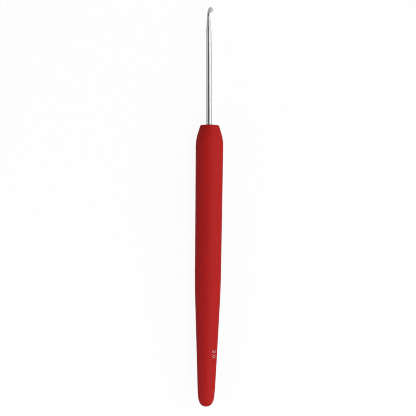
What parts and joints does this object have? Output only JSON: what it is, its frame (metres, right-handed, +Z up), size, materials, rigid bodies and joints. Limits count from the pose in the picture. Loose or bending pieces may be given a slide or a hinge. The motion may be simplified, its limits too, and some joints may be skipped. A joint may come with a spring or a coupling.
{
  "type": "crochet hook",
  "caption": "Slim steel crochet hook with a round shaft and a side mouth, set in a long soft moulded handle that swells towards the needle and has a rounded tail.",
  "frame": {"origin": "on the surface that the hook lies on, under the middle of its bounding box", "axes": "+Y runs along the needle towards the tip of the hook, +X is the side that the mouth opens to, +Z is up, square to the flat of the hook"},
  "size_m": [0.01, 0.14, 0.0085],
  "materials": {
    "polished_steel": "polished stainless steel with faint lengthwise polishing lines",
    "core_plastic": "plain moulded plastic, hidden under the grip",
    "soft_red": "satin soft-touch elastomer"
  },
  "bodies": {
    "root": {"hook_head": "polished_steel", "hook_shaft": "polished_steel", "handle_core": "core_plastic", "soft_grip": "soft_red"}
  },
  "joints": []
}
